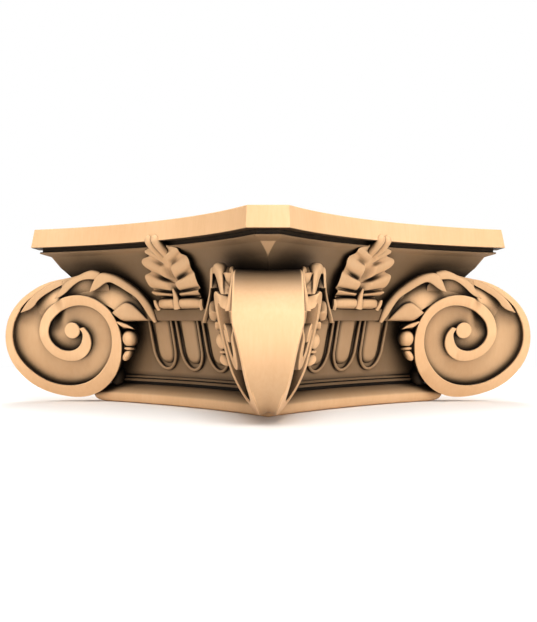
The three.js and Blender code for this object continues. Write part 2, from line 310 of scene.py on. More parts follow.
def body_levels():
    """(height, reach, sweep, corner) of each line of the mouldings, from the underside up."""
    foot = TORUS + FOOT_SLOPE + FOOT_GROOVE + LOW_FILLET + HIGH_FILLET
    levels = [(z, reach, NECK_SWEEP, UNCUT) for z, reach in foot]
    for step in range(NECK_STEPS + 1):
        rise = step / NECK_STEPS
        reach = NECK_REACH + NECK_FLARE * rise ** NECK_CURVE
        levels.append((mix(NECK_LOW, BAND_LOW, rise), reach, NECK_SWEEP, UNCUT))
    levels += [(BAND_LOW + z, reach, NECK_SWEEP, UNCUT) for z, reach in BAND]
    levels += [(BAND_LOW + z, reach, ABACUS_SWEEP, UNCUT) for z, reach in BAND_TOP]
    for step in range(1, COVE_STEPS + 1):
        rise = step / COVE_STEPS
        reach = COVE_REACH + COVE_SPREAD * rise ** COVE_CURVE
        levels.append((mix(BAND_HIGH, CREASE, rise), reach, ABACUS_SWEEP, UNCUT))
    for step in range(1, CROWN_STEPS + 1):
        rise = step / CROWN_STEPS
        reach = mix(CREASE_REACH, COVE_TOP_REACH, rise ** CROWN_CURVE)
        corner = mix(CREASE_CORNER, COVE_CORNER, rise)
        levels.append((mix(CREASE, COVE_TOP, rise), reach, ABACUS_SWEEP, corner))
    levels += [(z, reach, ABACUS_SWEEP, corner) for z, reach, corner in LIP + QUIRK + SLAB]
    return levels


# How much painted shade the body gets at each height: darker in the foot's grooves, on the neck and
# under the abacus, and none on the torus and the slab
BODY_PAINTED_SHADE = (
    (0, 0.0), (9.2, 0.2), (10.6, 0.75), (14.2, 1.0), (14.8, 1.15), (17.8, 1.5), (18.2, 1.85),
    (20.4, 1.85), (20.8, 1.35), (23.2, 1.35), (23.4, 1.7), (24, 1.7), (24.2, 1.35), (26.2, 1.35),
    (26.5, 1.6), (31, 1.0), (80, 1.0), (80.2, 1.05), (90.6, 1.15), (92, 1.15), (130, 1.15),
    (142, 1.0), (145.8, 0.8), (147.7, 1.0), (148, 1.8), (151.35, 1.8), (151.8, 0.0), (TOP, 0.0),
)
# Painted shade added in the dark crease over a scroll, which fades away from the diagonal
CREASE_PAINTED_SHADE = ((110, 0.0), (118, 0.42), (122, 0.42), (132, 0.0))
CREASE_HALF = 44
CREASE_FADE = 24
# The small cut corner gets only light painted shade
CUT_CORNER_PAINTED_SHADE = 0.45
# A point is on the cut corner if it is within this of its heights, and of its reach
CUT_CORNER_RISE = 0.1
CUT_CORNER_DEPTH = 0.4


def on_cut_corner(co):
    """Whether this is a point of the small triangle where the cove's cut corner runs out."""
    out = (abs(co.x) + abs(co.y)) * ROOT_HALF
    corner = mix(CREASE_CORNER, COVE_CORNER, (co.z - CREASE) / (COVE_TOP - CREASE))
    in_height = CREASE - CUT_CORNER_RISE < co.z < COVE_TOP + CUT_CORNER_RISE
    return in_height and out > corner - CUT_CORNER_DEPTH


def body_painted_shade(co):
    """Painted shade on the body, deepest in the crease between the cove's corner and the top of a
    scroll.
    """
    if on_cut_corner(co):
        return CUT_CORNER_PAINTED_SHADE
    aside = abs(abs(co.x) - abs(co.y)) * ROOT_HALF
    corner = smooth_step((CREASE_HALF - aside) / CREASE_FADE)
    return at_height(BODY_PAINTED_SHADE, co.z) + corner * at_height(CREASE_PAINTED_SHADE, co.z)


def body():
    levels = body_levels()
    rows = len(levels) - 1
    halves = [side_half(sweep, reach, corner) for _, reach, sweep, corner in levels]
    columns = 4 * (SIDE_STEPS + 1)

    def place(a, b):
        row = round(b * rows)
        z, reach, sweep, _ = levels[row]
        side, step = divmod(round(a * columns) % columns, SIDE_STEPS + 1)
        share = 2 * step / SIDE_STEPS - 1
        if step in (1, SIDE_STEPS - 1):
            share = math.copysign(BESIDE_CORNER, share)
        m = halves[row] * share
        spot = Vector((m, -side_reach(sweep, reach, m), z))
        spot.rotate(Matrix.Rotation(side * QUARTER, 3, "Z"))
        return spot

    return with_painted_shade(close(sheet(columns, rows, place)), body_painted_shade)


# The scrolls. The fillet of each winds round its eye, and its outer side is the front band. Its
# radii are 30 degrees apart, from just outside the top of the eye out, down and round.

EYE = Vector((189.2, 70.5))
EYE_RADIUS = 7.7
FIRST_ANGLE = 75.0
STATION = 30.0
OUTER_RADII = (
    51.3, 55.6, 63.2, 69.2, 69.2, 66.4, 65.6, 59.2, 50.4, 44.8, 39.4, 34.9, 32.2,
    32.4, 33.1, 33, 31.6, 30.2, 28.9, 24.6, 17.9, 12.4,
)
INNER_RADII = (
    46, 50, 56.6, 61.2, 58.4, 55.6, 51.8, 45.7, 40.2, 35.6, 30.2, 25, 21.8, 22,
    23.7, 23.9, 22.6, 20.6, 17.6, 13.2, 10.2, 7,
)
LAST_TURN = STATION * (len(OUTER_RADII) - 1)
SPIRAL_STEPS = 150

# The top of the fillet runs back from the spiral's start into the cove
TOP_RUN = (150, 196)
TOP_STEPS = 6
FILLET_TOP = 121.8
FILLET_THICK = 5.5

# Half the scroll's thickness, far out and at the camera's level, and what it loses for each
# millimetre outwards and gains for each millimetre upwards
CAMERA_LEVEL = 82.3
FACE_HALF = 36.8
FACE_OUT = 190
THINNER_OUTWARDS = 0.1455
THICKER_UPWARDS = 0.25
FOOT_HEIGHT = 45
FOOT_DRAWN_IN = 11

# Where it is far out and high up, the front band is no wider than this to each side, and so is
# the fillet under the leaf's rolled edge. Each of these is the start and the run of the change.
BAND_EDGE = 27.3
BAND_OUT = (196, 12)
BAND_UP = (62, 14)
UNDER_THE_LIP = (105, 5)

# How deep the channel's floor lies, and the least share of the thickness that it leaves
CHANNEL = 9.5
FLOOR_SHARE = 0.35


def ramp(value, start_and_run):
    """0 before the start and 1 after the run."""
    start, run = start_and_run
    return smooth_step((value - start) / run)


def on_spiral(radii, turn):
    radius = through(radii, turn / LAST_TURN)
    angle = math.radians(FIRST_ANGLE - turn)
    return EYE + radius * Vector((math.cos(angle), math.sin(angle)))


def face_half(u, z):
    """Half the scroll's thickness at its fillet: thick behind, thin at the foot."""
    lean = FACE_HALF - THINNER_OUTWARDS * (u - FACE_OUT) + THICKER_UPWARDS * (z - CAMERA_LEVEL)
    foot = max(0.0, (FOOT_HEIGHT - z) / FOOT_HEIGHT)
    return lean - FOOT_DRAWN_IN * foot * foot


def band_half(u, z):
    """The same, but the front band keeps its width high up."""
    front = ramp(u, BAND_OUT) * ramp(z, BAND_UP)
    return mix(face_half(u, z), min(BAND_EDGE, face_half(u, z)), front)


def floor_half(u, z):
    """Half the thickness at the floor of the channel."""
    return max(band_half(u, z) - CHANNEL, FLOOR_SHARE * band_half(u, z))


def ribbon_half(u, z):
    """The same again for the fillet, which is narrow under the leaf's rolled edge too."""
    return mix(band_half(u, z), min(BAND_EDGE, face_half(u, z)), ramp(z, UNDER_THE_LIP))


# How much painted shade the front band gets at each height, deepest where it runs in under the abacus
# and light lower down
BAND_PAINTED_SHADE = (
    (0, 0.5), (12, 0.5), (36, 0.32), (65, 0.08), (88, 0.02), (98, 0.18), (103, 0.35), (108, 0.65),
    (113.5, 1.05), (117, 1.55), (120.5, 1.95), (FILLET_TOP, 1.95),
)
# Painted shade on the channel's wall and floor, the web behind the scroll and the scroll's leaf
CHANNEL_WALL_PAINTED_SHADE = 1.1
CHANNEL_FLOOR_PAINTED_SHADE = 0.25
WEB_PAINTED_SHADE = 1.9
LEAF_PAINTED_SHADE = 0.3
# The fillet's own edges get no painted shade this far in, which leaves them light
UNSHADED_EDGE = 1.0


def ribbon_painted_shade(co):
    """Painted shade on the fillet: none on its edges, the band's outside and a deeper one on the
    channel's wall.
    """
    if abs(co.y) > ribbon_half(co.x, co.z) - UNSHADED_EDGE:
        return 0.0
    away = Vector((co.x, co.z)) - EYE
    turn = (FIRST_ANGLE - math.degrees(math.atan2(away.y, away.x))) % 360
    middle = (through(OUTER_RADII, turn / LAST_TURN) + through(INNER_RADII, turn / LAST_TURN)) / 2
    outside = away.length > middle or co.x < EYE.x
    return at_height(BAND_PAINTED_SHADE, co.z) if outside else CHANNEL_WALL_PAINTED_SHADE


RIBBON_EASE = 0.7
# The front band is dished across, most at the foot
DISH = 2.2
DISH_TOP = 64
DISH_RUN = 45
# (share of the way from the band's middle to its edge, share of the dish)
DISH_PROFILE = ((0.93, 0.1), (0.8, 0.0), (0.6, 0.2), (0.4, 0.5), (0.2, 0.8), (0, 1))


def ribbon_section(outer, inner):
    """Closed section of the fillet that winds round the scroll, with its edges eased."""
    ease = RIBBON_EASE
    inward = (inner - outer).normalized()
    wide = ribbon_half(*outer)
    narrow = ribbon_half(*inner)
    sag = DISH * smooth_step((DISH_TOP - outer.y) / DISH_RUN)

    def spot(place, t, depth=0.0):
        place = place + inward * depth
        return Vector((place.x, t, place.y))

    front = [spot(outer, wide * share, sag * dip) for share, dip in DISH_PROFILE]
    half = [spot(outer, wide, ease), spot(outer, wide - ease)] + front
    back = [spot(inner, 0), spot(inner, narrow - ease), spot(inner, narrow, -ease)]
    other = [Vector((p.x, -p.y, p.z)) for p in reversed(half[:-1])]
    other_back = [Vector((p.x, -p.y, p.z)) for p in reversed(back[1:])]
    return half + other + other_back + back


def scroll_ribbon():
    """The front band and the fillet, in one run from under the abacus to the eye."""
    sections = []
    for step in range(TOP_STEPS):
        top = Vector((mix(*TOP_RUN, step / TOP_STEPS), FILLET_TOP))
        sections.append(ribbon_section(top, top - Vector((0, FILLET_THICK))))
    for step in range(SPIRAL_STEPS + 1):
        turn = LAST_TURN * step / SPIRAL_STEPS
        sections.append(ribbon_section(on_spiral(OUTER_RADII, turn), on_spiral(INNER_RADII, turn)))
    return with_painted_shade(bar(sections), ribbon_painted_shade)


CORE_SPOKES = 72
CORE_RINGS = 12
# The core ends inside the fillet's outer turn, of which it follows this much
CORE_INSET = 2.5
CORE_LAST_TURN = 300
# Towards the stem the core's edge is level instead, this far below the fillet's top
CORE_LEVEL_FROM = (285, 30)
CORE_BELOW_TOP = 3
CORE_REACH = 70.0
LEAST_SINE = 0.05
# A half scroll ends this far past the middle plane, so that its two halves join
PAST_MIDDLE = -1


def core_edge(angle):
    """How far from the eye the core's edge is, at an angle."""
    turn = (FIRST_ANGLE - math.degrees(angle)) % 360
    reach = through(OUTER_RADII, min(turn, CORE_LAST_TURN) / LAST_TURN) - CORE_INSET
    if turn <= CORE_LEVEL_FROM[0]:
        return reach
    level = (FILLET_TOP - CORE_BELOW_TOP - EYE.y) / max(math.sin(angle), LEAST_SINE)
    return mix(reach, min(CORE_REACH, level), ramp(turn, CORE_LEVEL_FROM))


def scroll_core():
    """The solid heart of the scroll, up to the dished floor of its channel."""

    def front(a, b):
        angle = a * 2 * math.pi
        flat = EYE + b * core_edge(angle) * Vector((math.cos(angle), math.sin(angle)))
        return Vector((flat.x, floor_half(*flat), flat.y))

    bm = sheet(CORE_SPOKES, CORE_RINGS, front)
    # The innermost ring is a single point
    bmesh.ops.remove_doubles(bm, verts=bm.verts, dist=WELD * 5)
    rim = [e for e in bm.edges if e.is_boundary]
    made = bmesh.ops.extrude_edge_only(bm, edges=rim)["geom"]
    for vert in (v for v in made if isinstance(v, bmesh.types.BMVert)):
        vert.co.y = PAST_MIDDLE
    return with_painted_shade(close(bm), CHANNEL_FLOOR_PAINTED_SHADE)


# It runs along this many points of the first lobe's outer edge
BOLSTER_POINTS = 8
BOLSTER_STEPS = 24
BOLSTER_ROWS = 6
# (near the body, near the scroll) of the bolster's lower edge above the band's, and half width
BOLSTER_LOW = (0.4, 20)
BOLSTER_LOW_RISES = (136, 9)
BOLSTER_HALF = (42, 28)
BOLSTER_THINS = (128, 16)
BELOW_THE_LOBE = 4
BOLSTER_LEAST = 0.3


def bolster():
    """The stem that carries the scroll out from the body, below the first lobe's edge."""
    edge = along(LOBES[0]["outer"][:BOLSTER_POINTS], BOLSTER_STEPS)

    def front(a, b):
        top = edge[round(a * BOLSTER_STEPS)]
        near, far = BOLSTER_LOW
        low = mix(BAND_LOW + near, BAND_LOW + far, ramp(top.x, BOLSTER_LOW_RISES))
        half = mix(*BOLSTER_HALF, ramp(top.x, BOLSTER_THINS))
        return Vector((top.x, half, mix(low, max(top.y - BELOW_THE_LOBE, low + BOLSTER_LEAST), b)))

    return block(BOLSTER_STEPS, BOLSTER_ROWS, front, lambda p: Vector((p.x, PAST_MIDDLE, p.z)))


WEB_MIDDLE = (148.5, 0, 24)
WEB_RADII = (8.5, 13, 12)


def scroll_web():
    """The web that joins the scroll's back to the neck above the foot moulding."""
    return with_painted_shade(lump(WEB_MIDDLE, WEB_RADII), WEB_PAINTED_SHADE)


EYE_STEPS = 32
# (share of the eye's radius, lift over the scroll's face) from its hidden root to its middle
EYE_PROFILE = ((1.0, -14), (1.0, -0.7), (0.91, 0), (0.5, 0.15), (0.001, 0.2))


def scroll_eye():
    rows = len(EYE_PROFILE) - 1

    def front(a, b):
        share, lift = EYE_PROFILE[round(b * rows)]
        angle = a * 2 * math.pi
        flat = EYE + EYE_RADIUS * share * Vector((math.cos(angle), math.sin(angle)))
        return Vector((flat.x, face_half(*flat) + lift, flat.y))

    return close(sheet(EYE_STEPS, rows, front))


# The acanthus leaf on each face of a scroll: three lobes of rolled edge that lie over one
# another like shingles, a hollow bed below them, a petal and a husk. Each lobe has its outer
# edge, its lower edge, and how far from the scroll's middle plane its back and its lip are, all
# from its root to its hooked tip.

def pairs(*values):
    """Points (u, z) of an edge, with their heights measured from the camera's level."""
    return [Vector((u, z + CAMERA_LEVEL)) for u, z in values]


LOBES = (
    {
        "outer": pairs(
            (103.4, -3.2), (108.8, 11.6), (118.3, 23.6), (126.5, 30.7), (135, 36.4), (144.5, 41.2),
            (154, 43.2), (160.2, 42.6), (164, 38.8), (167, 33.4), (169.9, 25.4),
        ),
        "lower": pairs(
            (107.2, -4.2), (113, 2.8), (118.5, 11.2), (125.6, 19.8), (135.2, 26.2), (143, 31),
            (150.6, 34.4), (156, 32.6), (160.5, 29.2), (165, 26.4), (169.7, 25),
        ),
        "back": (50, 46, 42, 39.5, 37.5, 36.5, 37, 40, 43.5, 45, 45.8),
        "lip": (58.6, 56.6, 54.4, 52.6, 51.2, 50.4, 49.6, 49.2, 48.8, 48.4, 48),
    },
    {
        "outer": pairs(
            (160.5, 44.4), (168.1, 46.1), (174.8, 44.5), (181.6, 41.3), (189.2, 37.8), (195.6, 33.2),
            (199.8, 27.4), (202.9, 23.2), (205.8, 19.3),
        ),
        "lower": pairs(
            (163.5, 36.4), (170, 37.2), (177.2, 36.5), (183.5, 33.4), (189.2, 29), (194, 24.4),
            (198.2, 21.5), (202, 20), (205.6, 18.9),
        ),
        "back": (37, 35.5, 34.5, 34.5, 35, 35.4, 35.2, 35, 34.6),
        "lip": (46.2, 45.8, 44.6, 43.2, 41.8, 40.6, 39.4, 38.2, 37),
    },
    {
        "outer": pairs(
            (182, 42.2), (190, 39.9), (198, 38.2), (206, 35.6), (214.5, 31.4), (224.2, 25),
            (231.4, 18.2), (235.8, 12.4), (239.4, 5.8),
        ),
        "lower": pairs(
            (192, 34), (198, 32.8), (204.8, 29.4), (211, 26), (217.2, 22.2), (222.6, 17.6),
            (226.6, 12), (231.5, 8.2), (239.2, 5.4),
        ),
        "back": (27.2, 27, 26.8, 26.7, 26.6, 26.5, 26.4, 26.2, 26),
        "lip": (31.5, 30.4, 29.6, 29.2, 29.4, 30, 30.8, 31.7, 32.6),
    },
)
# The rolled section of a lobe: share of the way from its lower edge to its outer edge, and share
# of the way from its back to its lip
ROLL = (
    (0.7, -0.06), (0.88, 0.02), (0.99, 0.18), (1.03, 0.38), (1.0, 0.6), (0.91, 0.8),
    (0.78, 0.92), (0.6, 0.98), (0.4, 1.0), (0.2, 1.0), (0.06, 0.99),
)
# The same for the hollow below the lip, with a step in millimetres back from the lip
UNDERCUT = ((0.0, 0.8), (0.03, 2.2), (0.12, 3.6))

# The share of the way to the outer edge at which the hollow turns back, along the lobe and near
# its tip, and where along the lobe that changes
HOLLOW_SHARE = (0.34, 0.72)
HOLLOW_NEAR_TIP = (0.66, 0.2)
HOLLOW_DEPTH = 4.4
# The lobe's hidden back, in the same shares and in millimetres below its visible one
TURNS_BACK = 0.08
HOLLOW_BACK = 4
HIDDEN_SHARE = 0.66
HIDDEN_BACK = 5
LOBE_STEPS = 40


def lobe(shape):
    """One lobe of rolled edge, hollow below its lip and hooked at its tip."""
    outer = along(shape["outer"], LOBE_STEPS)
    lower = along(shape["lower"], LOBE_STEPS)
    sections = []
    for i in range(LOBE_STEPS + 1):
        run = i / LOBE_STEPS
        back = through(shape["back"], run)
        lip = through(shape["lip"], run)
        thin = mix(*HOLLOW_SHARE, ramp(run, HOLLOW_NEAR_TIP))

        def spot(rise, t):
            flat = lower[i].lerp(outer[i], rise)
            return Vector((flat.x, t, flat.y))

        section = [spot(rise, mix(back, lip, share)) for rise, share in ROLL]
        section += [spot(rise, lip - step) for rise, step in UNDERCUT]
        section += [spot(thin, lip - HOLLOW_DEPTH), spot(thin + TURNS_BACK, back - HOLLOW_BACK)]
        section.append(spot(HIDDEN_SHARE, back - HIDDEN_BACK))
        sections.append(section)
    return bar(sections)


# The bed's upper and lower edges, how far it is from the scroll's middle plane along its lower
# edge, how much it falls back towards the upper one, and the plane that its hidden side is on
BED_UPPER = pairs(
    (107, 0), (118, 16), (131, 27), (144, 35), (157, 38.5), (170, 39.5), (184, 37), (200, 33.5),
    (214, 28), (226, 19), (234, 8),
)
BED_LOWER = pairs(
    (112, -1.8), (124, -1.8), (137, -1.8), (145, 6), (152, 11), (161.5, 14.5), (176, 18.5),
    (190, 19.5), (203, 16.5), (214, 10), (222, 1),
)
BED_REACH = (47.5, 46.5, 45, 43, 40.5, 38, 35.4, 32, 28, 22.5, 17.5)
BED_HOLLOW = 5
BED_HOLLOW_CURVE = 1.8
BED_HOLLOW_LOST = 0.4
BED_BACK = 8
BED_STEPS = 40
BED_ROWS = 12
# Under the rolled edge the painted shade is deep, down to this far below the bed's upper edge
LIP_PAINTED_SHADE = 1.8
LIP_SHADE = 9


def leaf_bed():
    """The hollow of the leaf under its rolled edge, running down into the scroll's channel."""
    upper = along(BED_UPPER, BED_STEPS)
    lower = along(BED_LOWER, BED_STEPS)

    def front(a, b):
        flat = lower[round(a * BED_STEPS)].lerp(upper[round(a * BED_STEPS)], b)
        hollow = BED_HOLLOW * b ** BED_HOLLOW_CURVE * (1 - BED_HOLLOW_LOST * a)
        return Vector((flat.x, through(BED_REACH, a) - hollow, flat.y))

    def under_the_lip(co):
        edge = min(upper, key=lambda p: abs(p.x - co.x))
        return LIP_PAINTED_SHADE * smooth_step(1 - (edge.y - co.z) / LIP_SHADE)

    bed = block(BED_STEPS, BED_ROWS, front, lambda p: Vector((p.x, BED_BACK, p.z)))
    return with_painted_shade(bed, under_the_lip)


PILLOW_STEPS = 22
PILLOW_ROWS = 12
# How square a pillow is across and along: the higher, the flatter its top and steeper its sides
PILLOW_ACROSS = 3.4
PILLOW_ALONG = 5


def pillow(upper, lower, ground, crown, back):
    """A rounded leaf between two edges, standing up from its ground."""
    upper = along(upper, PILLOW_STEPS)
    lower = along(lower, PILLOW_STEPS)

    def front(a, b):
        flat = lower[round(a * PILLOW_STEPS)].lerp(upper[round(a * PILLOW_STEPS)], b)
        across = (1 - abs(2 * b - 1) ** PILLOW_ACROSS) ** 0.5
        swell = across * (1 - abs(2 * a - 1) ** PILLOW_ALONG) ** 0.5
        return Vector((flat.x, mix(ground, crown, swell), flat.y))

    return block(PILLOW_STEPS, PILLOW_ROWS, front, lambda p: Vector((p.x, back, p.z)))


PETAL_UPPER = pairs(
    (115, -0.6), (120, 5.8), (125.4, 11), (130.4, 14.6), (135.8, 15.8), (139.4, 13.8), (143, 10.8),
    (148.4, 5.6),
)
PETAL_LOWER = pairs(
    (111.5, -2.4), (118, -2.5), (124, -2.6), (130, -2.7), (135, -2.7), (139.4, -1.8), (143.6, 1),
    (148.4, 5),
)


def petal():
    """The large rounded lobe that lies along the stem's lower edge."""
    return pillow(PETAL_UPPER, PETAL_LOWER, ground=45.6, crown=50.6, back=34)


CAP_UPPER = pairs((144.8, -2.6), (141, -2.8), (135.6, -4.4), (130.6, -7.4), (127.2, -10.4))
CAP_LOWER = pairs((145.4, -3.6), (142.4, -6.4), (138.6, -8.7), (132.8, -9.7), (127.4, -10.8))
# (middle, radii, turn) of what hangs below the cap: its root, the bead, the collar and the drop,
# and the rib behind them that holds them to the scroll
HUSK_LUMPS = (
    ((135.5, 31, 75.5), (9, 9, 5), 0),
    ((132.4, 35.5, 63.3), (7.9, 9.4, 8.9), 0),
    ((133, 34.5, 53.4), (5.6, 7.4, 2.2), 0),
    ((135, 34.5, 47.2), (3.9, 7.2, 6.8), -0.66),
    ((138, 25, 60), (8, 9, 16), 0),
)


def husk():
    """A cap, a bead, a collar and a drop, hanging below the stem behind the scroll."""
    cap = pillow(CAP_UPPER, CAP_LOWER, ground=41.5, crown=45.5, back=33)
    return joined([cap] + [lump(*shape) for shape in HUSK_LUMPS])


def scrolls():
    leaf = with_painted_shade(joined([petal()] + [lobe(shape) for shape in LOBES]), LEAF_PAINTED_SHADE)
    face = joined([scroll_core(), bolster(), scroll_eye(), leaf_bed(), husk(), leaf])
    scroll = joined([scroll_ribbon(), scroll_web(), with_mirror(face)])
    return round_the_axis(scroll, QUARTER / 2)


# The three tongues of each side, between the foot mouldings and the plain band: an egg in a
# fillet that is bent to a U

TONGUE_PITCH = 37.6
TONGUE_TOP = BAND_LOW + 3
TONGUE_LOW = 32.8
TONGUE_HALF = 16.3
# How far out the tongues stand under the band, and how that falls off downwards and grows with
# the square of the place along the side
TONGUE_REACH = 106.4
TONGUE_LEAN = 0.215
TONGUE_SWEEP = 0.0009
# Painted shade on the tongues' fillets
TONGUE_PAINTED_SHADE = 0.75

ROD = 1.45
ROD_STEPS = 60
ROD_POINTS = 10
ROD_SUNK = 0.6
ROD_ROOT = 2.6
# The U's round end is this much taller than half its width, and its legs splay upwards
END_HEIGHT = 1.35
END_STEPS = 16
SPLAY = 1.03

EGG_HALF = 12.1
EGG_LOW = 38.2
EGG_COLUMNS = 18
EGG_ROWS = 26
EGG_ROOT = 6.5
EGG_SWELL = 6.6
EGG_BACK = 92
# The run over which the egg widens from its foot, and over which its end is rounded
EGG_WIDENS = 17
EGG_ROUNDS = 9
EGG_SPLAY = 1.05
# The higher, the blunter its foot and the flatter its crown
EGG_POINTED = 2.2
EGG_SQUARE = 3.2
# Painted shade on the egg's crown and down its sides, which it reaches over (start, run) millimetres
# of depth
EGG_CROWN_PAINTED_SHADE = 0.62
EGG_SIDE_PAINTED_SHADE = 1.9
EGG_SIDE = (0.6, 2.4)


def tongue_ground(m, z):
    """How far out the tongues stand on the neck."""
    return TONGUE_REACH - TONGUE_LEAN * (BAND_LOW - z) + TONGUE_SWEEP * m * m


def tongue_curve(half, low):
    """A U from the left top round the foot to the right top, as (m, z)."""
    side = half * END_HEIGHT
    points = [Vector((-half * SPLAY, TONGUE_TOP)), Vector((-half, low + side))]
    for i in range(1, END_STEPS):
        turn = math.pi * (1 + i / END_STEPS)
        points.append(Vector((half * math.cos(turn), low + side * (1 + math.sin(turn)))))
    points += [Vector((half, low + side)), Vector((half * SPLAY, TONGUE_TOP))]
    return points


def tongue_fillet(middle):
    """A round rod along the U, let into the neck."""
    path = along(tongue_curve(TONGUE_HALF - ROD, TONGUE_LOW + ROD), ROD_STEPS)
    sections = []
    for i, at in enumerate(path):
        step = path[min(i + 1, ROD_STEPS)] - path[max(i - 1, 0)]
        across = Vector((step.y, -step.x)).normalized()
        section = []
        for k in range(ROD_POINTS):
            angle = 2 * math.pi * k / ROD_POINTS
            spot = at + across * ROD * math.cos(angle)
            lift = (ROD_ROOT if math.sin(angle) < 0 else ROD) * math.sin(angle)
            m = spot.x + middle
            section.append(Vector((m, -(tongue_ground(m, spot.y) + lift - ROD_SUNK), spot.y)))
        sections.append(section)
    return with_painted_shade(bar(sections), TONGUE_PAINTED_SHADE)


def tongue_egg(middle):
    def front(a, b):
        z = mix(EGG_LOW, TONGUE_TOP, b)
        foot = min(1.0, (z - EGG_LOW) / EGG_WIDENS)
        taper = math.sqrt(max(1 - (1 - foot) ** EGG_POINTED, 0.0))
        wide = EGG_HALF * taper * mix(1, EGG_SPLAY, b)
        across = math.sin((2 * a - 1) * QUARTER)
        swell = (1 - abs(across) ** EGG_SQUARE) ** 0.5
        end = math.sqrt(max(1 - (1 - min(1.0, (z - EGG_LOW) / EGG_ROUNDS)) ** 2, 0.0))
        m = middle + wide * across
        return Vector((m, -(tongue_ground(m, z) - EGG_ROOT + EGG_SWELL * swell * end), z))

    egg = block(EGG_COLUMNS, EGG_ROWS, front, lambda p: Vector((p.x, -EGG_BACK, p.z)))
    return with_painted_shade(egg, egg_painted_shade)


def egg_painted_shade(co):
    """Painted shade, light on the egg's crown and deep down its sides, which outlines it."""
    depth = tongue_ground(co.x, co.z) + co.y
    return mix(EGG_CROWN_PAINTED_SHADE, EGG_SIDE_PAINTED_SHADE, ramp(depth, EGG_SIDE))


def tongues():
    parts = []
    for k in (-1, 0, 1):
        parts += [tongue_fillet(k * TONGUE_PITCH), tongue_egg(k * TONGUE_PITCH)]
    return parts


# The leaf in the middle of each side

# Rows of the leaf from its foot to its fingers: height at the midrib, height at the edge, half
# width, then reach at the midrib, on the crown of the lobe and at the edge
LEAF_ROWS = (
    (91.2, 91.2, 28.6, 114.0, 115.6, 114.2),
    (93.4, 93.2, 29.4, 114.2, 120.2, 118.0),
    (97.6, 97.8, 29.6, 115.0, 121.2, 118.6),
    (99.9, 100.6, 28.4, 114.6, 118.6, 116.6),
    (101.0, 102.2, 28.6, 113.6, 114.0, 113.6),
    (102.2, 104.0, 31.6, 114.0, 118.6, 117.5),
    (104.2, 106.6, 33.0, 114.6, 121.4, 121.0),
    (105.8, 109.6, 33.0, 113.6, 117.2, 118.5),
    (107.6, 112.6, 34.6, 114.4, 122.6, 122.4),
    (111.0, 118.6, 35.4, 117.0, 126.4, 126.2),
    (113.4, 122.6, 34.6, 118.0, 126.0, 127.0),
    (114.8, 125.8, 28.8, 118.0, 121.2, 124.8),
    (117.2, 129.6, 31.6, 118.4, 126.6, 129.4),
    (121.0, 133.6, 33.4, 119.4, 130.2, 132.2),
    (126.0, 137.2, 31.0, 122.4, 131.6, 133.0),
    (129.0, 139.8, 22.6, 127.0, 128.8, 132.0),
    (132.2, 142.0, 23.6, 129.4, 134.0, 135.6),
    (136.2, 144.6, 22.4, 131.8, 136.8, 137.2),
    (139.4, 146.4, 14.0, 134.4, 135.4, 137.6),
    (142.4, 147.6, 10.5, 136.6, 138.4, 138.4),
    (146.0, 149.4, 8.0, 139.0, 140.0, 139.0),
)

SIDE_LEAF_COLUMNS = 40
SIDE_LEAF_STEPS = 84
# Light painted shade on the side leaf
SIDE_LEAF_PAINTED_SHADE = 0.16
# Across each half leaf, the crown is reached by this share of the way from the midrib, and the
# edge starts to turn after (start, run)
CROWN_SHARE = 0.26
EDGE_TURNS = (0.42, 0.58)
# At the foot, below this share of the height, the corners of the leaf are rounded back
FOOT_SHARE = 0.2
FOOT_RUN = 0.05
FOOT_ROUNDED = 3.2
FOOT_CURVE = 6
# The hidden back of the leaf is this much narrower, and this deep in the cove
SIDE_LEAF_TAPER = 0.74
SIDE_LEAF_DEPTH = 15


def side_leaf():
    columns = list(zip(*LEAF_ROWS))

    def front(a, b):
        side = 2 * a - 1
        x = abs(side)
        rib_z, edge_z, half, rib, crown, edge = (through(column, b) for column in columns)
        reach = mix(rib, crown, smooth_step(x / CROWN_SHARE))
        reach = mix(reach, edge, ramp(x, EDGE_TURNS))
        reach -= FOOT_ROUNDED * smooth_step((FOOT_SHARE - b) / FOOT_RUN) * x ** FOOT_CURVE
        return Vector((side * half, -reach, mix(rib_z, edge_z, x)))

    def back(p):
        return Vector((p.x * SIDE_LEAF_TAPER, p.y + SIDE_LEAF_DEPTH, p.z))

    return block(SIDE_LEAF_COLUMNS, SIDE_LEAF_STEPS, front, back)


def round_bar(points, steps, radius_at, around):
    """A round bar along a curve through points (m, reach, z), of a radius at each share of it."""
    path = along([Vector(point) for point in points], steps)
    sections = []
    for i, at in enumerate(path):
        radius = radius_at(i / steps)
        step = (path[min(i + 1, steps)] - path[max(i - 1, 0)]).normalized()
        front = Vector((0, step.z, -step.y))
        ring = []
        for k in range(around):
            angle = 2 * math.pi * k / around
            spot = at + radius * (math.cos(angle) * Vector((1, 0, 0)) + math.sin(angle) * front)
            ring.append(Vector((spot.x, -spot.y, spot.z)))
        sections.append(ring)
    return bar(sections)


STEM_PATH = ((0, 115, 92), (0, 116.8, 97), (0, 118.4, 102), (0, 120.4, 106), (0, 122.6, 109.6))
STEM_RADII = (5.2, 1.0)
STEM_CURVE = 1.2
STEM_STEPS = 12
STEM_AROUND = 12


def leaf_stem():
    """The pointed end of the leaf's stem, standing free over the hollow at its foot."""

    def radius(share):
        return mix(*STEM_RADII, share ** STEM_CURVE)

    return round_bar(STEM_PATH, STEM_STEPS, radius, STEM_AROUND)


# The path of the blade on the right; the other is its mirror image, and so are the fingers
BLADE_PATH = ((30.6, 113, 91), (31.8, 115.6, 95), (33.2, 116.8, 99.4))
BLADE_RADII = (3.0, 1.6)
BLADE_CURVE = 2
BLADE_STEPS = 8
BLADE_AROUND = 10


